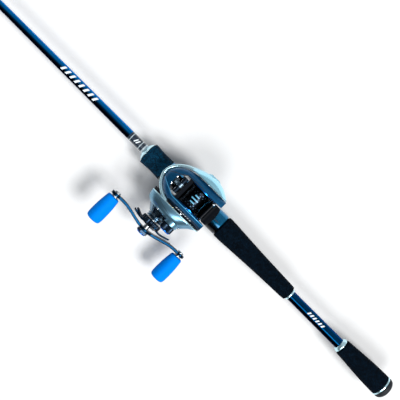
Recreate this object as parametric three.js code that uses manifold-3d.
// A baitcasting rod with its low-profile reel, left-hand crank, as an assembly of separate pieces.
// Millimetres. +X runs from the butt to the tip along the rod's axis, +Y to the crank side, +Z up.
// The origin is the middle of the butt's flat end.
import * as THREE from "three";
import { mergeVertices } from "three/addons/utils/BufferGeometryUtils.js";
import Module from "manifold-3d";

const wasm = await Module();
wasm.setup();

// ---------------------------------------------------------------------------------------------
// Driving dimensions
// ---------------------------------------------------------------------------------------------
const gap = 0.3; // between pieces that sit face to face
const slip = 0.15; // radial, between a round piece and what it turns or slides in
const past = 1; // how far a cutter runs past the face it opens

const rod = {
  length: 1981,
  wall: 0.55,
  sides: 14,
  // Radius of the blank at stations from the butt, given as shares of the length.
  taper: [
    [0, 5.5], [0.054, 5.25], [0.187, 4.65], [0.268, 3.95], [0.404, 3.1], [0.606, 2.15],
    [0.808, 1.45], [1, 0.9],
  ],
};
const butt = {
  capLength: 7.0,
  capRadius: 11.5,
  faceRadius: 7.5,
  spigot: 11,
  ringWidth: 1.2,
  gripLength: 54.2,
};
const buttGrip = { rear: 11.5, front: 8.5, ringWidth: 4.0, ringRadius: 7.8, ringTip: 6.4 };
const rearGrip = { start: 137.6, length: 95.9, rear: 8.2, middle: 9.8, front: 12.2, ringWidth: 1.8 };
const seat = {
  length: 102.4, rearRadius: 11.8, tubeRadius: 9, flat: 7.6, hoodLength: 18, pocketDepth: 7.5,
};
const trigger = { x: 270, width: 7, drop: 27, reach: 9 };
const hood = { length: 12.2, wall: 2.65, travel: 9 };
const foregrip = {
  length: 25,
  foamRear: 0.95, // thickness of the foam over the barrel
  foamFront: 1.75,
  barrelWall: 1.4,
  ringLength: 3.9,
  ringRadius: 10.2,
};
const foot = { length: 62, width: 13, thickness: 2.0, endThickness: 1.4, rise: 0.2 };

// The reel's own frame has its origin on the spool's axis, in the middle of the spool.
const reel = { x: 270.5, under: 15 }; // under: height of the spool's lowest point over the rod's axis
const spool = { radius: 16, arbor: 10.5, halfWidth: 11.4, flange: 1.1, shaft: 1.4 };
const wall = { inner: 11.8, outer: 15.4, holeGap: 0.6, barGap: 2.08, guardAt: 41 };
const reelZ = reel.under + spool.radius;
const bearing = { outer: 5.5, width: 3.2 };
const shell = {
  halfWidth: 18.8, overSpool: 1.3, rear: -23.4, shoulder: 8, nose: 36.6, crownAt: 2, rearDrop: 7,
  base: 1.5, noseRise: 3.4,
  thickness: 1.6, windowHalf: 11.7, windowFront: 27.2, bandInner: 15.8, bandFront: 18.5,
  sectionPower: 0.62,
};
const plate = { inner: 17.0, outer: 19.6, trimOuter: 21.2 };
const gearCover = {
  inner: 21.5,
  face: 32.4,
  thickness: 1.6,
  bossRadius: 15.5,
  bossTop: 9.6,
  bossEnd: 37.9,
};
const palmCover = { inner: -19.1, thickness: 1.5 };
const bow = { width: 3.4, height: 3.4, nose: 39.4, side: 20.0 };

const module = 0.5; // tooth size of every gear in the reel
const teeth = { drive: 64, pinion: 10, cog: 19, worm: 11 };
const backlash = 0.17; // share of a tooth's pitch that is left free in each gear
const driveReach = 14.6; // how far the crank's axis lies ahead of the spool's
const wormClear = 4.432; // from the spool's rim to the worm's axis
const driveGear = { from: 23, width: 3 };
const cogGear = { from: 20.2, width: 2 };
const pinion = { from: 21, toothLength: 6, neckLength: 3.6, neck: 2.0 };

const shaft = { radius: 3.0, from: 19.9, end: 58.6 };
const star = {
  hubRadius: 11,
  from: 43,
  hubHeight: 7,
  reach: 24.5,
  blades: 5,
  bladeWidth: 7.5,
  bladeThickness: 1.7,
};
const crank = {
  turn: 16, radius: 43.4, middle: 55.2, end: 49.3, thickness: 2.8, hubWidth: 8.2, armWidth: 4.1,
  eyeWidth: 5.4,
  slotFrom: 13.5, slotLength: 15, slotWidth: 3,
};
const knob = {
  length: 30.5,
  radius: 8.0,
  neck: 6.6,
  postRadius: 2.4,
  bore: 2.55,
  collarRadius: 4.2,
  collarLength: 1.1,
};
const tension = { radius: 6.6, from: 34.4, height: 6.6, rim: 1.1 };
const brake = { x: 0, z: -6, radius: 7.5, height: 2.2, depth: 6.6 };
const worm = { radius: 2.4, neck: 1.4, eyeReach: 5.4, eyeRadius: 3.4 };
const thumbBar = { halfWidth: 10.7, depth: 8.7, fromSpool: 1.5, top: 10.4 };

// Places of the running guides from the tip, each ring's outer radius and its height over the blank.
const guides = [
  { fromTip: 1080, ring: 7.0, height: 13.5, feet: 2 },
  { fromTip: 850, ring: 5.6, height: 11.0, feet: 2 },
  { fromTip: 655, ring: 4.7, height: 9.2, feet: 1 },
  { fromTip: 490, ring: 4.2, height: 8.0, feet: 1 },
  { fromTip: 345, ring: 3.8, height: 7.0, feet: 1 },
  { fromTip: 215, ring: 3.5, height: 6.4, feet: 1 },
  { fromTip: 100, ring: 3.3, height: 6.0, feet: 1 },
];
const tipTop = { tube: 11, ring: 3.2 };

const driveDistance = (module * (teeth.drive + teeth.pinion)) / 2;
const driveX = driveReach;
const driveZ = -Math.sqrt(driveDistance ** 2 - driveReach ** 2);
const wormDistance = (module * (teeth.cog + teeth.worm)) / 2;
// The worm's axis meshes with the drive's and stays clear of the spool: it lies where two circles cross.
const wormFar = spool.radius + wormClear;
const wormTurn = Math.atan2(driveZ, driveX) + Math.acos(
  (driveDistance ** 2 + wormFar ** 2 - wormDistance ** 2) / (2 * driveDistance * wormFar)
);
const wormX = wormFar * Math.cos(wormTurn);
const wormZ = wormFar * Math.sin(wormTurn);

// ---------------------------------------------------------------------------------------------
// Materials
// ---------------------------------------------------------------------------------------------
const paint = (color, roughness, metalness) => new THREE.MeshStandardMaterial(
  { color, roughness, metalness }
);
const look = {
  blank: paint(0x06243f, 0.2, 0.3),
  foam: paint(0x14181d, 0.9, 0),
  rubber: paint(0x0c0d0f, 0.8, 0),
  silver: paint(0xc3d3dc, 0.25, 0.9),
  seat: paint(0x10181f, 0.3, 0.1),
  frame: paint(0x0c0f13, 0.4, 0.5),
  blue: paint(0x0a3c66, 0.3, 0.7),
  satin: paint(0x8fb0c0, 0.35, 0.8),
  spool: paint(0x08090b, 0.3, 0.8),
  steel: paint(0xa8adb0, 0.3, 1),
  brass: paint(0xb08d4a, 0.35, 1),
  handle: paint(0x0e1720, 0.35, 0.8),
  accent: paint(0x1466d8, 0.3, 0.8),
  knob: paint(0x0a84e6, 0.7, 0),
  nylon: paint(0xd9dcda, 0.5, 0),
  guide: paint(0x2a2d30, 0.3, 0.9),
};

// ---------------------------------------------------------------------------------------------
// Shape tools
// ---------------------------------------------------------------------------------------------
const v2 = (x, y) => new THREE.Vector2(x, y);
const v3 = (x, y, z) => new THREE.Vector3(x, y, z);
const span = (from, to, steps) => Array.from(
  { length: steps + 1 },
  (_, i) => from + ((to - from) * i) / steps,
);

// A closed geometry as a manifold-3d solid, its faces turned outwards.
function solid(geometry) {
  const bare = geometry.clone();
  for (const name of Object.keys(bare.attributes)) if (name !== "position") bare.deleteAttribute(name);
  const merged = mergeVertices(bare, 1e-4);
  const corner = merged.index.array;
  const kept = [];
  for (let i = 0; i < corner.length; i += 3) {
    const [a, b, c] = [corner[i], corner[i + 1], corner[i + 2]];
    if (a !== b && b !== c && a !== c) kept.push(a, b, c);
  }
  const vertProperties = new Float32Array(merged.attributes.position.array);
  const make = (list) => new wasm.Manifold(
    new wasm.Mesh({ numProp: 3, vertProperties, triVerts: new Uint32Array(list) })
  );
  const made = make(kept);
  if (made.volume() > 0) return made;
  for (let i = 0; i < kept.length; i += 3) [kept[i + 1], kept[i + 2]] = [kept[i + 2], kept[i + 1]];
  return make(kept);
}

function geometryOf(body) {
  const mesh = body.getMesh();
  const points = new Float32Array(mesh.numVert * 3);
  for (let i = 0; i < mesh.numVert; i++) {
    points.set(mesh.vertProperties.subarray(i * mesh.numProp, i * mesh.numProp + 3), i * 3);
  }
  const geometry = new THREE.BufferGeometry();
  geometry.setAttribute("position", new THREE.BufferAttribute(points, 3));
  geometry.setIndex(new THREE.BufferAttribute(mesh.triVerts, 1));
  geometry.computeVertexNormals();
  return geometry;
}

// Turned about the Y axis: pairs of radius and place along Y.
const turned = (profile, sides = 20) => solid(
  new THREE.LatheGeometry(profile.map(([r, y]) => v2(r, y)), sides)
);
// The same about the rod's axis.
function turnedX(profile, sides = 20) {
  return solid(new THREE.LatheGeometry(profile.map(([r, x]) => v2(r, x)), sides).rotateZ(-Math.PI / 2));
}
const disc = (radius, from, to, sides) => turned(
  [[0, from], [radius, from], [radius, to], [0, to]],
  sides,
);
const tubeLoop = (inner, outer, from, to) => [
  [inner, from], [outer, from], [outer, to], [inner, to], [inner, from],
];
const ring = (inner, outer, from, to, sides) => turned(tubeLoop(inner, outer, from, to), sides);
const ringX = (inner, outer, from, to, sides) => turnedX(tubeLoop(inner, outer, from, to), sides);
const rodX = (radius, from, to, sides) => turnedX(
  [[0, from], [radius, from], [radius, to], [0, to]],
  sides,
);

function box(x0, x1, y0, y1, z0, z1) {
  const made = new THREE.BoxGeometry(x1 - x0, y1 - y0, z1 - z0);
  return solid(made.translate((x0 + x1) / 2, (y0 + y1) / 2, (z0 + z1) / 2));
}

// An outline of [x, z] pairs, drawn in the XZ plane and given a thickness from y0 to y1.
function slab(outline, y0, y1) {
  const shape = new THREE.Shape(outline.map(([x, z]) => v2(x, z)));
  const made = new THREE.ExtrudeGeometry(shape, { depth: y1 - y0, bevelEnabled: false });
  return solid(made.rotateX(Math.PI / 2).translate(0, y1, 0));
}

// A smooth closed outline through a few points, as [x, z] pairs.
function smooth(points, count) {
  const curve = new THREE.CatmullRomCurve3(points.map(([x, z]) => v3(x, 0, z)), true, "centripetal");
  return curve.getSpacedPoints(count).slice(0, count).map((p) => [p.x, p.z]);
}

// A skin over a row of closed sections with equal counts of points, with both ends closed.
function loft(sections) {
  const count = sections[0].length;
  const points = sections.flat();
  const faces = [];
  for (let s = 0; s + 1 < sections.length; s++) {
    for (let i = 0; i < count; i++) {
      const [a, b] = [s * count + i, s * count + ((i + 1) % count)];
      faces.push(a, b, a + count, b, b + count, a + count);
    }
  }
  for (const end of [0, sections.length - 1]) {
    const middle = sections[end].reduce(
      (sum, p) => sum.clone().add(p),
      v3(0, 0, 0),
    ).divideScalar(count);
    const hub = points.push(middle) - 1;
    for (let i = 0; i < count; i++) {
      const [a, b] = [end * count + i, end * count + ((i + 1) % count)];
      faces.push(...(end === 0 ? [hub, b, a] : [hub, a, b]));
    }
  }
  const made = new THREE.BufferGeometry().setFromPoints(points);
  made.setIndex(faces);
  return solid(made);
}

const cut = (body, ...cutters) => cutters.reduce((left, cutter) => left.subtract(cutter), body);
const joined = (body, ...others) => others.reduce((sum, other) => sum.add(other), body);

// Adds a piece to a group as a mesh of its own.
function piece(group, name, body, material) {
  const mesh = new THREE.Mesh(geometryOf(body), material);
  mesh.name = name;
  group.add(mesh);
}

// ---------------------------------------------------------------------------------------------
// The rod
// ---------------------------------------------------------------------------------------------
const fishingRod = new THREE.Group();

function blankRadius(x) {
  const share = THREE.MathUtils.clamp(x / rod.length, 0, 1);
  const next = Math.max(1, rod.taper.findIndex(([at]) => at >= share));
  const [[from, r0], [to, r1]] = [rod.taper[next - 1], rod.taper[next]];
  return r0 + ((r1 - r0) * (share - from)) / (to - from);
}

const buttSolid = butt.capLength + gap + butt.ringWidth + gap; // where the blank and the foam start
const buttGripEnd = buttSolid + butt.gripLength;
const bore = blankRadius(0) + 2 * slip; // of everything that slides over the handle end of the blank
const spigot = blankRadius(buttSolid) - rod.wall - slip;

function blank() {
  const stations = rod.taper.map(
    ([share, radius]) => [Math.max(share * rod.length, buttSolid), radius]
  );
  const skin = stations.map(([x, radius]) => [radius, x]);
  const hollow = stations.map(([x, radius]) => [radius - rod.wall, x]).reverse();
  return turnedX([...skin, ...hollow, skin[0]], rod.sides);
}

function buttCap() {
  const { capLength: end, capRadius: r, faceRadius } = butt;
  const rounded = span(0.15, 1, 4).map((t) => {
    const angle = (t * Math.PI) / 2;
    return [faceRadius + (r - faceRadius) * Math.sin(angle), end * 0.7 * (1 - Math.cos(angle))];
  });
  return turnedX(
    [
      [0, 0], [faceRadius, 0], ...rounded, [r, end], [spigot, end], [spigot, end + butt.spigot],
      [0, end + butt.spigot],
    ]
  );
}

// A foam grip: radii at even steps from its rear to its front, with both ends rounded over.
function grip(start, length, radii, hole, round = 2.5) {
  const end = start + length;
  const inner = [start + round, end - round];
  const body = radii.map((r, i) => [r, inner[0] + ((inner[1] - inner[0]) * i) / (radii.length - 1)]);
  const [first, last] = [radii[0], radii[radii.length - 1]];
  const rear = [[hole, start], [first - round, start], [first - 0.3 * round, start + 0.3 * round]];
  const front = [[last - 0.3 * round, end - 0.3 * round], [last - round, end], [hole, end]];
  return turnedX([...rear, ...body, ...front, rear[0]], 18);
}

function cone(hole, wide, narrow, from, to) {
  const bulge = [narrow + (wide - narrow) * 0.72, from + (to - from) * 0.55];
  return turnedX([[hole, from], [wide, from], bulge, [narrow, to], [hole, to], [hole, from]], 18);
}

function handleEnd() {
  const ringStart = butt.capLength + gap;
  piece(fishingRod, "butt_cap", buttCap(), look.rubber);
  piece(
    fishingRod,
    "butt_ring",
    ringX(spigot + slip, butt.capRadius + 0.15, ringStart, ringStart + butt.ringWidth, 18),
    look.silver,
  );
  const buttRadii = [
    buttGrip.rear, buttGrip.rear * 0.98, (buttGrip.rear + buttGrip.front) * 0.495, buttGrip.front,
  ];
  piece(fishingRod, "butt_grip", grip(buttSolid, butt.gripLength, buttRadii, bore, 1.6), look.foam);
  const buttRing = cone(
    bore,
    buttGrip.ringRadius,
    buttGrip.ringTip,
    buttGripEnd + gap,
    buttGripEnd + gap + buttGrip.ringWidth,
  );
  piece(fishingRod, "butt_grip_ring", buttRing, look.silver);
  const rearRingStart = rearGrip.start - gap - rearGrip.ringWidth;
  piece(
    fishingRod,
    "rear_grip_ring",
    ringX(bore, bore + 0.8, rearRingStart, rearGrip.start - gap, 18),
    look.silver,
  );
  const radii = [
    rearGrip.rear, (rearGrip.rear + rearGrip.middle) / 2, rearGrip.middle,
    (rearGrip.middle + rearGrip.front) / 2, rearGrip.front,
  ];
  piece(fishingRod, "rear_grip", grip(rearGrip.start, rearGrip.length, radii, bore, 2.2), look.foam);
}

// ---------------------------------------------------------------------------------------------
// The reel seat, its screw hood and the foregrip that turns it
// ---------------------------------------------------------------------------------------------
const seatStart = rearGrip.start + rearGrip.length + gap;
const seatEnd = seatStart + seat.length;
const hoodMouth = seatStart + seat.hoodLength; // front lip of the fixed rear hood
const footStart = hoodMouth - seat.pocketDepth;
const footEnd = footStart + foot.length;
const hoodStart = footEnd - 7;
const gripStart = hoodStart + hood.length + gap;
const footTop = seat.flat + foot.rise + foot.thickness;
const pocketTop = seat.flat + foot.rise + foot.endThickness + gap;

// The finger hook below the seat, hollow to the front where the finger lies.
function triggerHook() {
  const { x, drop, reach, width } = trigger;
  const root = -seat.tubeRadius * 0.8;
  const hook = new THREE.Shape();
  hook.moveTo(x - 11, root);
  hook.bezierCurveTo(x - 5, root - 5, x - 5, -drop + 4, x + reach - 5, -drop - 1);
  hook.quadraticCurveTo(x + reach, -drop - 1, x + reach - 1.5, -drop + 2.5);
  hook.bezierCurveTo(x + 2, -drop + 8, x + 3, root - 3, x + 16, root + 1);
  const outline = hook.getPoints(5).map((p) => [p.x, p.y]);
  return slab(outline.slice(0, -1), -width / 2, width / 2);
}

function reelSeat() {
  const { rearRadius: r, tubeRadius: t, flat } = seat;
  const lip = hoodMouth;
  const skin = [
    [bore, seatStart], [r - 0.6, seatStart], [r, seatStart + 2], [r - 0.3, lip - 5],
    [r - 0.9, lip - 1], [r - 1.8, lip],
    [t + 1.0, lip + 9], [t, lip + 18], [t, seatEnd], [bore, seatEnd], [bore, seatStart],
  ];
  const reach = footEnd + 6; // the flat runs on under the screw hood
  const flatCut = box(lip, reach, -2 * r, 2 * r, flat, 2 * r);
  const pocket = box(
    footStart - gap,
    lip + past,
    -foot.width / 2 - gap,
    foot.width / 2 + gap,
    flat,
    pocketTop,
  );
  const hook = cut(triggerHook(), rodX(bore, seatStart, seatEnd, 20));
  return cut(joined(turnedX(skin, 20), hook), flatCut, pocket);
}

function screwHood() {
  const { length, wall: thickness } = hood;
  const hole = seat.tubeRadius + slip;
  const radius = hole + thickness;
  const [from, to] = [hoodStart, hoodStart + length];
  const skin = [
    [hole, from], [radius - 1.6, from], [radius, from + 4], [radius, to], [hole, to], [hole, from],
  ];
  const pocket = box(
    from - past,
    footEnd + gap,
    -foot.width / 2 - gap,
    foot.width / 2 + gap,
    0,
    pocketTop,
  );
  return cut(turnedX(skin, 20), pocket);
}

function foregripSet() {
  const barrel = seat.tubeRadius + slip;
  const end = gripStart + foregrip.length;
  const outer = barrel + foregrip.barrelWall;
  piece(fishingRod, "screw_hood", screwHood(), look.seat);
  piece(fishingRod, "lock_nut", ringX(barrel, outer, gripStart, end - gap, 20), look.seat);
  const rear = outer + foregrip.foamRear;
  const hole = outer + gap;
  const radii = [rear, rear + 0.1, rear + 0.2, outer + foregrip.foamFront];
  piece(fishingRod, "foregrip", grip(gripStart, foregrip.length, radii, hole, (rear - hole) * 0.7), look.foam);
  const tip = blankRadius(end) + 2 * slip;
  piece(
    fishingRod,
    "foregrip_ring",
    cone(tip, foregrip.ringRadius, tip + 0.9, end + gap, end + gap + foregrip.ringLength),
    look.silver,
  );
}

// ---------------------------------------------------------------------------------------------
// The line guides
// ---------------------------------------------------------------------------------------------
function strut(from, to, radius) {
  const path = new THREE.LineCurve3(from, to);
  const section = new THREE.Shape(
    span(0, 3, 3).map(
      (i) => v2(radius * Math.cos((i * Math.PI) / 2), radius * Math.sin((i * Math.PI) / 2))
    )
  );
  return solid(
    new THREE.ExtrudeGeometry(section, { steps: 1, bevelEnabled: false, extrudePath: path })
  );
}

function guideFrame({ fromTip, ring: outer, height, feet }) {
  const x = rod.length - fromTip;
  const top = blankRadius(x) + slip;
  const middle = top + height;
  const wire = 0.45 + outer * 0.04;
  const eye = ringX(outer - 1.5, outer, x - 0.9, x + 0.9, 12).translate([0, 0, middle]);
  const legs = [];
  for (const way of feet === 2 ? [-1, 1] : [-1]) {
    const ankle = x + way * height * 0.75;
    const heel = ankle + way * (4 + outer);
    for (const side of [-1, 1]) {
      const hip = v3(x, side * (outer - 0.8), middle - outer * 0.35);
      legs.push(strut(hip, v3(ankle, side * 0.5, top + wire), wire));
    }
    legs.push(
      box(
        Math.min(ankle - way, heel),
        Math.max(ankle - way, heel),
        -1.1,
        1.1,
        top + 0.05,
        top + 2 * wire,
      )
    );
  }
  return joined(eye, ...legs);
}

function tipTopFrame() {
  const outer = blankRadius(rod.length - tipTop.tube) + slip + 0.45;
  const end = rod.length + 2;
  const hole = outer - 0.45;
  const profile = [
    [hole, rod.length - tipTop.tube], [outer, rod.length - tipTop.tube], [outer, end], [0, end],
    [0, rod.length + gap], [hole, rod.length + gap],
  ];
  const tube = turnedX([...profile, profile[0]], 16);
  const height = outer + tipTop.ring + 0.6;
  const eye = ringX(tipTop.ring - 1.1, tipTop.ring, end - 0.9, end + 0.9, 14).translate([0, 0, height]);
  const post = box(end - 1.2, end + 0.3, -0.8, 0.8, 0, height - tipTop.ring + 0.5);
  return joined(tube, eye, cut(post, rodX(hole, rod.length - tipTop.tube, rod.length + gap, 16)));
}

function rodPieces() {
  piece(fishingRod, "blank", blank(), look.blank);
  handleEnd();
  piece(fishingRod, "reel_seat", reelSeat(), look.seat);
  foregripSet();
  guides.forEach((guide, i) => piece(fishingRod, `line_guide_${i + 1}`, guideFrame(guide), look.guide));
  piece(fishingRod, "tip_top", tipTopFrame(), look.guide);
}

// ---------------------------------------------------------------------------------------------
// The reel's frame and covers
// ---------------------------------------------------------------------------------------------
const reelGroup = new THREE.Group();
reelGroup.position.set(reel.x, 0, reelZ);
fishingRod.add(reelGroup);

const frameFloor = footTop + gap - reelZ; // underside of the frame, seen from the spool's axis

function wallOutline() {
  const f = frameFloor;
  return smooth([
    [-spool.radius - 4.5, -13], [-spool.radius - 5.6, -4], [-19.5, 2], [-14, 7.2], [-2, 8.8], [8, 6.8],
    [14, 2.4], [wormX + 2.9, -1.0], [wormX + 6.9, -8], [wormX + 6.4, -15], [19, f + 1], [6, f], [-11, f],
  ], 30);
}

const onRim = (degrees) => [Math.cos, Math.sin].map(
  (f) => spool.radius * f(THREE.MathUtils.degToRad(degrees))
);
const [rimX, rimZ] = onRim(wall.guardAt);
const guardEnd = wall.inner + 2;

function reelFrame() {
  const { inner, outer, holeGap, barGap } = wall;
  const palmHole = disc(spool.radius + holeGap, -outer - past, -inner + past, 28);
  const gearHole = disc(bearing.outer + slip, inner - past, outer + past, 16);
  const wormHoles = disc(
    worm.neck + slip,
    -outer - past,
    outer + past,
    14,
  ).translate([wormX, 0, wormZ]);
  const walls = [slab(wallOutline(), inner, outer), slab(wallOutline(), -outer, -inner)];
  const bridge = inner + 1;
  const bottom = box(-12, 17, -bridge, bridge, frameFloor, frameFloor + 1.9);
  const low = (spool.radius + barGap + 2) * Math.SQRT1_2;
  const frontBar = disc(2.0, -bridge, bridge, 14).translate([low, 0, -low]);
  const rearBar = disc(2.2, -bridge, bridge, 14).translate([-low, 0, 0.2 - low]);
  const sill = box(19.5, 23.5, -bridge, bridge, -17.2, -14.2);
  // The guards stand round the spool's rim: their points are measured from the rim at one angle.
  const fromRim = (points) => points.map(([x, z]) => [rimX + x, rimZ + z]);
  const frontGuard = slab(
    fromRim([[0.02, 0.7], [2.92, 0.3], [4.22, -2.3], [3.52, -3.3], [1.92, -1.0]]),
    -guardEnd,
    guardEnd,
  );
  const [backX, backZ] = onRim(153).map((at) => at * 1.115);
  const rearGuard = disc(1.2, -guardEnd, guardEnd, 10).translate([backX, 0, backZ]);
  const posts = [-1, 1].map((side) => {
    const [y0, y1] = [side * inner, side * guardEnd].sort((a, b) => a - b);
    return joined(
      slab(fromRim([[-1.08, -9.5], [5.92, -10.5], [4.22, -2.3], [2.92, 0.1], [0.02, 0.1]]), y0, y1),
      box(backX - 1.1, backX + 2.9, y0, y1, 1, backZ + 0.5),
    );
  });
  return cut(
    joined(...walls, bottom, frontBar, rearBar, sill, frontGuard, rearGuard, ...posts),
    palmHole,
    gearHole,
    wormHoles,
  );
}

// The outer skin over the top of the reel, drawn in by an inset. It stands on the base line.
function topSkin(inset, base) {
  const {
    halfWidth,
    overSpool,
    rear,
    shoulder,
    nose,
    crownAt,
    rearDrop,
    noseRise,
    sectionPower: p,
  } = shell;
  const tip = nose - inset;
  const crown = spool.radius + overSpool;
  const stations = [
    ...span(rear + (inset > 0 ? -past : 0), shoulder, 3),
    ...span(0.16, 1, 6).map((t) => shoulder + (tip - shoulder) * Math.sin((t * Math.PI) / 2) * 0.999)
  ];
  return loft(stations.map((x) => {
    const ahead = Math.max(0, (x - shoulder) / (tip - shoulder));
    const width = (halfWidth - inset) * Math.max(0.0016, 1 - ahead ** 2) ** 0.44;
    const fall = (x - crownAt) / (x > crownAt ? tip + 0.5 - crownAt : rear - crownAt);
    const crownHere = x > crownAt ? noseRise + (crown - noseRise) * Math.sqrt(
      Math.max(0.003, 1 - fall ** 2)
    ) : crown - rearDrop * fall ** 2;
    const top = crownHere - inset;
    return span(0, Math.PI, 12).map((a) => {
      const across = Math.sign(Math.cos(a)) * Math.abs(Math.cos(a)) ** p;
      return v3(x, width * across, base + Math.max(0.4, top - base) * Math.sin(a) ** p);
    });
  }));
}

function topCover() {
  const hollow = topSkin(shell.thickness, shell.base - past);
  const raw = cut(topSkin(0, shell.base), hollow);
  const { windowHalf: half, windowFront: front, rear, bandInner, bandFront } = shell;
  const window = [
    [rear - 5, half], [front - 9, half], [front - 4, half * 0.86], [front - 1, half * 0.5],
    [front, 0],
  ];
  const mirrored = window.slice(0, -1).map(([x, y]) => [x, -y]).reverse();
  const opening = slab([...window, ...mirrored], 0, 60).rotate([90, 0, 0]);
  const bandSide = box(rear - 5, bandFront, bandInner, 30, -10, 30);
  const bandInset = box(rear - 5, bandFront - gap, bandInner + gap, 30, -10, 30);
  const guardRoom = box(rimX - 1, rimX + 3.2, -guardEnd - gap, guardEnd + gap, 0, rimZ + 0.7 + gap);
  piece(reelGroup, "top_cover", cut(raw, opening, bandSide, guardRoom), look.blue);
  piece(
    reelGroup,
    "side_band",
    cut(topSkin(0, shell.base), topSkin(shell.thickness * 1.6, shell.base - past)).intersect(bandInset),
    look.frame,
  );
}

// The egg-shaped outline of the gear case: low in front, where the large gear turns.
// Its extents are -1 to 1.
const caseOutline = smooth([
  [-1, 0.33], [-0.89, 0.71], [-0.57, 0.95], [-0.16, 1], [0.32, 0.9], [0.73, 0.62], [0.98, 0.19],
  [0.94, -0.38], [0.67, -0.81],
  [0.25, -1], [-0.16, -0.88], [-0.51, -0.56], [-0.86, -0.14],
], 26);
const caseSection = (y, cx, cz, hx, hz) => caseOutline.map(([u, w]) => v3(cx + hx * u, y, cz + hz * w));
const caseX = driveX - 8;
const caseZ = driveZ + 1.06;

function gearCase(inset) {
  const { inner, face } = gearCover;
  const depth = face - inner;
  const at = (share, cx, hx, hz) => caseSection(
    inner + depth * share,
    caseX + cx,
    caseZ,
    hx - inset,
    hz - inset,
  );
  const rise = [
    [0, 1.45, 28.6, 20], [0.275, 3.6, 26, 19.8], [0.596, 4.8, 23.4, 19], [0.826, 4.4, 20.6, 17.2],
    [0.945, 4.1, 17.8, 14.8], [1, 3.9, 14.5, 12.4],
  ];
  return loft(
    (inset > 0 ? [[-0.3, 1.45, 28.6, 20], ...rise.slice(1, 4)] : rise).map((row) => at(...row))
  );
}

function gearSideCover() {
  const { face, bossRadius, bossTop, bossEnd, thickness } = gearCover;
  const boss = turned(
    [
      [0, face - 4], [bossRadius, face - 4], [bossRadius, face - 1.5],
      [bossTop + 1.2, bossEnd - 0.8], [bossTop, bossEnd], [0, bossEnd],
    ],
    22,
  );
  const capBoss = disc(tension.radius + 0.9, face - 5, tension.from - gap, 20);
  const clearance = disc(tension.radius + 2 * gap, tension.from - gap, bossEnd + past, 20);
  const body = joined(
    cut(joined(gearCase(0), boss.translate([driveX, 0, driveZ])), clearance),
    capBoss,
  );
  const rollerSeat = disc(
    antiReverse.outer + slip,
    gearCover.inner,
    antiReverse.to,
    20,
  ).translate([driveX, 0, driveZ]);
  const shaftHole = disc(shaft.radius + slip, face, bossEnd + past, 24).translate([driveX, 0, driveZ]);
  const capHole = disc(pinion.neck + 1.2, gearCover.inner, tension.from + past, 20);
  return cut(body, gearCase(thickness), rollerSeat, shaftHole, capHole);
}

const antiReverse = { outer: 6.2, from: 29.6, to: 36.4 };

function gearSidePlates() {
  const { inner, outer, trimOuter } = plate;
  const outline = (scaleX, scaleZ, y) => caseSection(y, caseX, caseZ, 30.2 * scaleX, 20.4 * scaleZ);
  const below = box(-40, 60, 0, 40, -40, shell.base - gap);
  const holes = [
    disc(bearing.outer, inner - past, outer + past, 16),
    disc(shaft.radius - 1, inner - past, outer + past, 14).translate([driveX, 0, driveZ]),
    disc(worm.neck + slip, inner - past, outer + past, 14).translate([wormX, 0, wormZ]),
  ];
  const set = cut(
    loft([outline(0.97, 0.96, inner), outline(0.985, 0.98, outer)]).intersect(below),
    ...holes,
    bowBar(2 * gap),
  );
  piece(reelGroup, "gear_side_plate", set, look.frame);
  const ringPlate = cut(
    loft([outline(1, 1, outer + gap), outline(1.01, 1.012, trimOuter)]),
    loft([outline(0.9, 0.86, outer), outline(0.9, 0.86, trimOuter + past)]),
  );
  piece(reelGroup, "gear_side_trim", cut(ringPlate, bowBar(2 * gap)), look.silver);
}

// The bright bar that sweeps round the nose, from the gear side's trim to the palm cover.
function bowBar(grow = 0) {
  const { nose, side, width, height } = bow;
  const half = [[18.5, side, 5.2], [26, 17.6, 3.4], [33.2, 12.4, 1.4], [37.7, 6.4, 0.3]];
  const route = [...half, [nose, 0, 0], ...half.map(([x, y, z]) => [x, -y, z]).reverse()];
  const curve = new THREE.CatmullRomCurve3(route.map((p) => v3(...p)));
  const up = v3(0, 0, 1);
  const sections = span(0, 1, 20).map((t) => {
    const [at, along] = [curve.getPoint(t), curve.getTangent(t)];
    const out = along.clone().cross(up).normalize();
    const rise = out.clone().cross(along).normalize();
    return span(0, 5, 5).map((i) => {
      const a = ((i + 0.5) * Math.PI) / 3;
      return at.clone().addScaledVector(out, (width / 2 + grow) * Math.cos(a) * 1.08).addScaledVector(
        rise,
        (height / 2 + grow) * Math.sin(a) * 1.08,
      );
    });
  });
  return loft(sections);
}

function palmCase(inset) {
  const { inner } = palmCover;
  const stations = [
    [0, 2.2, 25.8, 16.4], [2.6, 1.0, 21.6, 15.4], [5.0, 0.2, 17.0, 13.6], [6.9, -0.6, 12.4, 10.8],
    [8.1, -1.6, 7.6, 7.2], [8.5, -2, 4.2, 4],
  ];
  const kept = inset > 0 ? [[-1, 2.2, 25.8, 16.4], ...stations.slice(1, 4)] : stations;
  const round = smooth(
    [
      [-1, -0.1], [-0.86, 0.62], [-0.4, 0.97], [0.15, 1], [0.66, 0.72], [0.98, 0.05], [0.8, -0.62],
      [0.3, -0.98], [-0.4, -0.95], [-0.86, -0.62],
    ],
    22,
  );
  return loft(
    kept.map(
      ([y, cx, hx, hz]) => round.map(
        ([u, w]) => v3(cx + (hx - inset) * u, inner - (y - inset * 0.4), -3.2 + (hz - inset) * w)
      )
    )
  );
}

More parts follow.
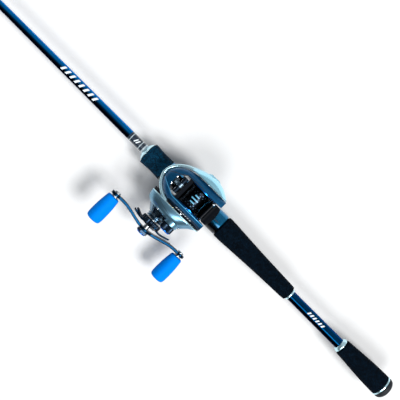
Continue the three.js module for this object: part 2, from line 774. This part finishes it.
function palmSideCover() {
  const hub = disc(bearing.outer + 1.5, palmCover.inner - 6, palmCover.inner, 18);
  const seatHole = disc(
    bearing.outer + slip,
    palmCover.inner - bearing.width,
    palmCover.inner + past,
    18,
  );
  const dialWell = disc(
    brake.radius + gap,
    -40,
    palmCover.inner - brake.depth,
    20,
  ).translate([brake.x, 0, brake.z]);
  const dialFloor = disc(
    brake.radius + 1.6,
    -40,
    palmCover.inner - brake.depth + 1.6,
    20,
  ).translate([brake.x, 0, brake.z]).intersect(palmCase(0));
  const spindle = disc(1.6 + slip, -40, palmCover.inner, 14).translate([brake.x, 0, brake.z]);
  const body = joined(
    cut(palmCase(0), palmCase(palmCover.thickness)),
    hub.intersect(palmCase(0)),
    dialFloor,
  );
  return cut(body, seatHole, dialWell, spindle, bowBar(2 * gap));
}

// ---------------------------------------------------------------------------------------------
// Spool, gears and drag
// ---------------------------------------------------------------------------------------------
// A gear's outline with straight flanks, thinned by the backlash.
function gearOutline(count, shift = 0) {
  const pitchRadius = (module * count) / 2;
  const rows = [
    [pitchRadius - 1.2 * module, 0.74], [pitchRadius + 0.85 * module, 0.3],
  ];
  const step = (2 * Math.PI) / count;
  const outline = [];
  for (let i = 0; i < count; i++) {
    const middle = (i + shift) * step;
    for (const [radius, share] of [rows[0], rows[1]]) outline.push(
      [radius, middle - (share - backlash) * step * 0.5]
    );
    for (const [radius, share] of [rows[1], rows[0]]) outline.push(
      [radius, middle + (share - backlash) * step * 0.5]
    );
  }
  return outline.map(([radius, angle]) => [radius * Math.cos(angle), radius * Math.sin(angle)]);
}

// Half a tooth's turn that brings a gear's tooth opposite its mate's gap, along the line to the mate.
const towards = (dx, dz) => Math.atan2(dz, dx);
function gear(count, from, width, hole, angle, toothAtAngle) {
  const shift = (angle * count) / (2 * Math.PI) + (toothAtAngle ? 0 : 0.5);
  return cut(
    slab(gearOutline(count, shift), from, from + width),
    disc(hole, from - past, from + width + past, 20),
  );
}

const towardsDrive = towards(driveX, driveZ);
const towardsWorm = towards(wormX - driveX, wormZ - driveZ);

function spoolSet() {
  const { radius, arbor, halfWidth, flange, shaft: pin } = spool;
  const foot1 = arbor + 0.8;
  const half = [
    [arbor, 3], [foot1, halfWidth - flange - 1], [radius - 0.7, halfWidth - flange],
    [radius, halfWidth - flange], [radius, halfWidth], [radius - 1.2, halfWidth],
    [arbor - 2.6, halfWidth - 3],
  ];
  const mirrored = half.map(([r, y]) => [r, -y]).reverse();
  const hub = [[pin + slip, halfWidth - 3], [pin + slip, -(halfWidth - 3)]];
  const profile = [...mirrored, ...half, ...hub];
  piece(reelGroup, "spool", turned([...profile, profile[0]], 24), look.spool);
  const shaftEnd = tension.from + 1.0;
  piece(
    reelGroup,
    "spool_shaft",
    disc(pin, palmCover.inner - bearing.width + gap, shaftEnd, 16),
    look.steel,
  );
  piece(
    reelGroup,
    "spool_bearing_gear",
    ring(pin + slip, bearing.outer, wall.inner + 0.8, wall.inner + 0.8 + bearing.width, 16),
    look.steel,
  );
  piece(
    reelGroup,
    "spool_bearing_palm",
    ring(pin + slip, bearing.outer, palmCover.inner - bearing.width + gap, palmCover.inner, 16),
    look.steel,
  );
}

function pinionGear() {
  const { from, toothLength, neckLength, neck } = pinion;
  const toothed = slab(
    gearOutline(teeth.pinion, (towardsDrive * teeth.pinion) / (2 * Math.PI)),
    from,
    from + toothLength,
  );
  const end = from + toothLength + neckLength;
  const collar = disc(neck + 0.8, end - 1, end, 20);
  const hole = disc(spool.shaft + slip, from - past, end + past, 16);
  return cut(joined(toothed, disc(neck, from + toothLength, end, 20), collar), hole);
}

function clutchYoke() {
  const { from, toothLength, neck } = pinion;
  const y0 = from + toothLength + gap;
  const plateOutline = [[-6.0, -3.0], [-4.4, -3.9], [3.2, -3.7], [3.5, 2.5], [-3.0, 2.7], [-6.0, 1.0]];
  return cut(slab(plateOutline, y0, y0 + 1.6), disc(neck + slip, y0 - past, y0 + 3, 20));
}

function driveTrain() {
  const at = (body) => body.translate([driveX, 0, driveZ]);
  const wheel = gear(
    teeth.drive,
    driveGear.from,
    driveGear.width,
    shaft.radius + slip,
    towardsDrive + Math.PI,
    false,
  );
  piece(reelGroup, "drive_gear", at(wheel), look.brass);
  const cogBore = shaft.radius + slip;
  piece(
    reelGroup,
    "level_wind_cog",
    at(gear(teeth.cog, cogGear.from, cogGear.width, cogBore, towardsWorm, true)),
    look.brass,
  );
  const stack = driveGear.from + driveGear.width + gap;
  piece(
    reelGroup,
    "drag_washers",
    at(ring(shaft.radius + slip, 10.5, stack, stack + 2.6, 16)),
    look.rubber,
  );
  piece(
    reelGroup,
    "anti_reverse_bearing",
    at(ring(shaft.radius + slip, antiReverse.outer, antiReverse.from, antiReverse.to - gap, 16)),
    look.steel,
  );
  const axle = turned(
    [
      [0, shaft.from], [shaft.radius, shaft.from], [shaft.radius, shaft.end - 0.6],
      [shaft.radius - 0.6, shaft.end], [0, shaft.end],
    ],
    24,
  );
  piece(reelGroup, "crank_shaft", at(axle), look.steel);
  const y = gearCover.bossEnd + gap;
  const hole = shaft.radius + slip;
  const collar = [
    [hole, y], [9.2, y], [9.7, y + 0.7], [9.5, y + 1.5], [7.8, y + 2.0], [9.5, y + 3.0],
    [9.3, y + 3.8], [hole, y + 4.4], [hole, y],
  ];
  piece(reelGroup, "drag_spring_washers", at(turned(collar, 16)), look.silver);
}

function starDrag() {
  const { hubRadius, from, hubHeight, reach, blades, bladeWidth, bladeThickness } = star;
  const top = from + hubHeight;
  const hub = turned(
    [
      [0, from], [hubRadius - 0.8, from], [hubRadius, from + 0.8], [hubRadius, top - 1.8], [7, top],
      [0, top],
    ],
    24,
  );
  const arms = span(0, blades - 1, blades - 1).map((i) => {
    const stations = [
      [hubRadius - 3, top - 1.7, 1.0], [hubRadius + 3, top - 1.4, 0.82],
      [reach - 4, top - 3.0, 0.72], [reach - 0.9, top - 4.0, 0.5], [reach, top - 4.3, 0.25],
    ];
    const sections = stations.map(([r, y, w]) => {
      const [hw, ht] = [(bladeWidth / 2) * w, bladeThickness / 2];
      return [
        [-hw, 0], [-hw * 0.7, -ht], [hw * 0.7, -ht], [hw, 0], [hw * 0.7, ht], [-hw * 0.7, ht],
      ].map(([z, t]) => v3(r, y + t, z));
    });
    return loft(sections).rotate([0, 20 + (360 / blades) * i, 0]);
  });
  const body = joined(hub, ...arms);
  return cut(body, disc(shaft.radius + slip, from - past, top + past, 24));
}

// ---------------------------------------------------------------------------------------------
// Crank, knobs, dials, thumb bar and level wind
// ---------------------------------------------------------------------------------------------
const crankGroup = new THREE.Group();
crankGroup.position.set(driveX, 0, driveZ);
crankGroup.rotation.y = THREE.MathUtils.degToRad(-crank.turn);
reelGroup.add(crankGroup);

const armHeight = (u) => crank.end + (crank.middle - crank.end) * 0.5 * (
  1 + Math.cos(Math.PI * Math.min(1, Math.abs(u) / (crank.radius * 0.82)))
);

function crankArm() {
  const { radius, hubWidth, armWidth, eyeWidth, thickness } = crank;
  const end = radius + eyeWidth;
  const halfWidth = (u) => {
    const d = Math.abs(u);
    const hub = d < hubWidth ? Math.sqrt(hubWidth ** 2 - d ** 2) : 0;
    const eye = Math.abs(d - radius) < eyeWidth ? Math.sqrt(eyeWidth ** 2 - (d - radius) ** 2) : 0;
    const bar = d < radius ? armWidth + 1.4 * (1 - d / radius) : 0;
    return Math.max(hub, eye, bar, 0.6);
  };
  const half = [
    0, 3.5, 6.5, 8.4, 14, 20, 27, 34, 38.6, 41, 43.5, 46.4, 47.6,
  ].map((u) => (u * (end - 0.1)) / 47.6);
  const stations = [...half.slice(1).map((u) => -u).reverse(), ...half];
  const bar = loft(stations.map((u) => {
    const [hw, ht, y] = [halfWidth(u), thickness / 2, armHeight(u)];
    return [
      [-hw, 0], [-hw + 0.5, -ht], [hw - 0.5, -ht], [hw, 0], [hw - 0.5, ht], [-hw + 0.5, ht],
    ].map(([z, t]) => v3(u, y + t, z));
  }));
  const slots = [-1, 1].map((side) => {
    const [a, b] = [crank.slotFrom, crank.slotFrom + crank.slotLength].map((u) => u * side);
    const r = crank.slotWidth / 2;
    const ends = [a, b].map((u) => disc(r, crank.end - 5, crank.middle + 5, 12).translate([u, 0, 0]));
    return joined(box(Math.min(a, b), Math.max(a, b), crank.end - 5, crank.middle + 5, -r, r), ...ends);
  });
  const eyes = [-1, 1].map(
    (side) => disc(
      knob.postRadius + slip,
      crank.end - 5,
      crank.end + 5,
      16,
    ).translate([side * radius, 0, 0])
  );
  return cut(bar, disc(shaft.radius + slip, crank.middle - 5, crank.middle + 5, 24), ...slots, ...eyes);
}

const knobStart = crank.end + crank.thickness / 2 + knob.collarLength + 2 * gap;

function knobSet(name, side) {
  const at = (body) => body.translate([side * crank.radius, 0, 0]);
  const { length, radius, neck, postRadius, bore: hole, collarRadius, collarLength } = knob;
  const [from, end] = [knobStart, knobStart + length];
  const back = crank.end - crank.thickness / 2;
  const collarFrom = crank.end + crank.thickness / 2 + gap;
  const postEnd = end - 3;
  const post = turned([
    [0, back - 1.6], [3.2, back - 1.6], [3.6, back - 1.0], [3.6, back - gap],
    [postRadius, back - gap], [postRadius, collarFrom], [collarRadius, collarFrom],
    [
      collarRadius, collarFrom + collarLength,
    ], [postRadius, collarFrom + collarLength], [postRadius, postEnd], [0, postEnd],
  ], 20);
  piece(crankGroup, `knob_post_${name}`, at(post), look.steel);
  const skin = [
    [hole, from], [neck - 0.8, from], [neck, from + 0.9], [
      radius - 0.9, from + length * 0.16,
    ], [radius, from + length * 0.42], [radius, from + length * 0.7],
    [radius - 0.2, end - 4], [radius - 1.0, end - 1.3], [radius - 3, end - 0.2], [0, end],
    [0, postEnd + gap], [hole, postEnd + gap], [hole, from],
  ];
  piece(crankGroup, `knob_${name}`, at(turned(skin, 18)), look.knob);
}

function crankSet() {
  piece(crankGroup, "crank_arm", crankArm(), look.handle);
  const nutFrom = crank.middle + crank.thickness / 2 + gap;
  const hex = span(0, 5, 5).map(
    (i) => [6 * Math.cos((i * Math.PI) / 3), 6 * Math.sin((i * Math.PI) / 3)]
  );
  const nut = cut(
    slab(hex, nutFrom, nutFrom + 2.4),
    disc(shaft.radius + slip, nutFrom - past, shaft.end + slip, 20),
  );
  piece(crankGroup, "crank_nut", nut, look.handle);
  const capFrom = nutFrom + 2.4 + gap;
  const cap = turned(
    [[0, capFrom], [5.0, capFrom], [4.6, capFrom + 0.8], [2.6, capFrom + 1.3], [0, capFrom + 1.4]],
    20,
  );
  piece(crankGroup, "nut_cap", cap, look.accent);
  knobSet("front", 1);
  knobSet("rear", -1);
}

function tensionKnob() {
  const { radius, from, height, rim } = tension;
  const flutes = 14;
  const outline = span(0, 2 * flutes - 1, 2 * flutes - 1).map((i) => {
    const [a, r] = [(i * Math.PI) / flutes, radius - (i % 2 ? 0.45 : 0)];
    return [r * Math.cos(a), r * Math.sin(a)];
  });
  const well = disc(spool.shaft + 0.6, from - past, from + 2.2, 16);
  const y = from + height;
  const rimDisc = turned(
    [[0, y - past], [radius - 0.7, y - past], [radius - 0.7, y], [radius - 1.5, y + rim], [0, y + rim]],
    28,
  );
  piece(reelGroup, "tension_knob", cut(joined(slab(outline, from, y), rimDisc), well), look.handle);
}

function brakeDial() {
  const floor = palmCover.inner - brake.depth - gap;
  const { x, z, radius, height } = brake;
  const knurled = span(0, 31, 31).map((i) => {
    const [a, r] = [(i * Math.PI) / 16, radius - (i % 2 ? 0.3 : 0)];
    return [r * Math.cos(a), r * Math.sin(a)];
  });
  const grip1 = box(-radius + 1.5, radius - 1.5, floor - height - 0.9, floor - height + 0.5, -1, 1);
  const spindle = disc(1.6, floor - 1, palmCover.inner - 4.2, 14);
  const dial = joined(slab(knurled, floor - height, floor), grip1, spindle);
  return dial.translate([x, 0, z]);
}

function magnetPlate() {
  const y = palmCover.inner - 1.2;
  const body = ring(bearing.outer + 1.9, 10.5, y - 1.2, y, 24);
  const magnets = span(0, 5, 5).map((i) => {
    const a = (i * Math.PI) / 3 + 0.3;
    return disc(1.2, y - 0.4, y + 0.8, 8).translate([9 * Math.cos(a), 0, 9 * Math.sin(a)]);
  });
  return joined(body, ...magnets);
}

// Slides straight down between the walls; its rear face is rounded in plan.
function thumbBarBody() {
  const { halfWidth, depth, fromSpool, top } = thumbBar;
  const front = -spool.radius - fromSpool;
  const rear = front - depth;
  const bar = new THREE.Shape();
  bar.moveTo(front, top);
  bar.quadraticCurveTo(rear + 3.2, top - 0.4, rear, -1);
  bar.lineTo(rear + 1, -9);
  bar.lineTo(rear + 5.6, -9);
  bar.quadraticCurveTo(front - 2.2, 0, front, top - 3);
  const outline = bar.getPoints(7).map((p) => [p.x, p.y]);
  const plan = 25;
  const column = solid(
    new THREE.CylinderGeometry(plan, plan, 60, 64).rotateX(Math.PI / 2)
  ).translate([rear + plan, 0, 0]);
  return slab(outline, -halfWidth, halfWidth).intersect(column);
}

function levelWind() {
  const at = (body) => body.translate([wormX, 0, wormZ]);
  const shoulder = wall.inner - gap;
  const bushWidth = 2.4;
  const threadEnd = shoulder - bushWidth - gap;
  const shank = turned([
    [0, -wall.outer], [worm.neck, -wall.outer], [worm.neck, -threadEnd], [worm.radius, -threadEnd],
    [worm.radius, threadEnd], [worm.neck, threadEnd],
    [worm.neck, cogGear.from + cogGear.width + 0.5], [0, cogGear.from + cogGear.width + 0.5],
  ], 20);
  piece(reelGroup, "worm_shaft", at(shank), look.steel);
  piece(
    reelGroup,
    "worm_gear",
    at(gear(teeth.worm, cogGear.from, cogGear.width, worm.neck + slip, towardsWorm + Math.PI, false)),
    look.nylon,
  );
  for (const [name, side] of [["gear", 1], ["palm", -1]]) {
    const [y0, y1] = [side * (shoulder - bushWidth), side * shoulder].sort((p, q) => p - q);
    const block = cut(box(-3, 3.2, y0, y1, -3, 3.4), disc(worm.neck + slip, y0 - past, y1 + past, 16));
    piece(reelGroup, `worm_bush_${name}`, at(block), look.nylon);
  }
  const railX = wormX + 8.2;
  const railZ = wormZ - 4.2;
  piece(
    reelGroup,
    "level_wind_rail",
    disc(1.1, -shoulder, shoulder, 14).translate([railX, 0, railZ]),
    look.steel,
  );
  // The carriage hugs the worm from the front and is kept upright by the rail.
  const c = 2.1;
  const sleeve = ring(worm.radius + slip, 3.9, -c, c, 16);
  const back = box(-10, -2.9, -c - past, c + past, -10, 10);
  const lug = box(2.6, 9.9, -c, c, -6.2, -2.6);
  const eyeX = worm.eyeReach;
  const eyePlate = turnedX(
    [
      [worm.eyeRadius - 1.2, eyeX - 1], [worm.eyeRadius, eyeX - 1], [worm.eyeRadius, eyeX + 1],
      [worm.eyeRadius - 1.2, eyeX + 1], [worm.eyeRadius - 1.2, eyeX - 1],
    ],
    16,
  );
  const post = box(2.6, eyeX + 1, -c, c, -3.2, -1.2);
  const carriage = cut(
    joined(cut(sleeve, back), lug, post, eyePlate.translate([0, 0, 1.3])),
    disc(1.1 + slip, -10, 10, 16).translate([railX - wormX, 0, railZ - wormZ]),
    disc(worm.radius + slip, -10, 10, 16),
    rodX(worm.eyeRadius - 1.2, eyeX - 2, eyeX + 2, 16).translate([0, 0, 1.3]),
  );
  piece(reelGroup, "line_carriage", at(carriage), look.handle);
}

function reelFoot() {
  const { length, width, thickness, endThickness, rise } = foot;
  const z = seat.flat + rise;
  const [x0, x1] = [footStart, footStart + length];
  const run = 17;
  const outline = [
    [x0, z], [x1, z], [x1, z + endThickness], [
      x1 - run + 5, z + endThickness,
    ], [x1 - run - 3, z + thickness], [x0 + run + 3, z + thickness],
    [x0 + run - 5, z + endThickness], [x0, z + endThickness],
  ];
  return slab(outline, -width / 2, width / 2);
}

function reelPieces() {
  piece(fishingRod, "reel_foot", reelFoot(), look.frame);
  piece(reelGroup, "reel_frame", reelFrame(), look.frame);
  topCover();
  piece(reelGroup, "nose_bow", bowBar(), look.silver);
  gearSidePlates();
  piece(reelGroup, "gear_side_cover", gearSideCover(), look.satin);
  piece(reelGroup, "palm_side_cover", palmSideCover(), look.satin);
  spoolSet();
  piece(reelGroup, "pinion_gear", pinionGear(), look.brass);
  piece(reelGroup, "clutch_yoke", clutchYoke(), look.steel);
  driveTrain();
  const starBody = starDrag().rotate([0, -crank.turn, 0]).translate([driveX, 0, driveZ]);
  piece(reelGroup, "star_drag", starBody, look.handle);
  crankSet();
  tensionKnob();
  piece(reelGroup, "brake_dial", brakeDial(), look.handle);
  piece(reelGroup, "magnet_plate", magnetPlate(), look.steel);
  piece(reelGroup, "thumb_bar", thumbBarBody(), look.frame);
  levelWind();
}

rodPieces();
reelPieces();

export default fishingRod;
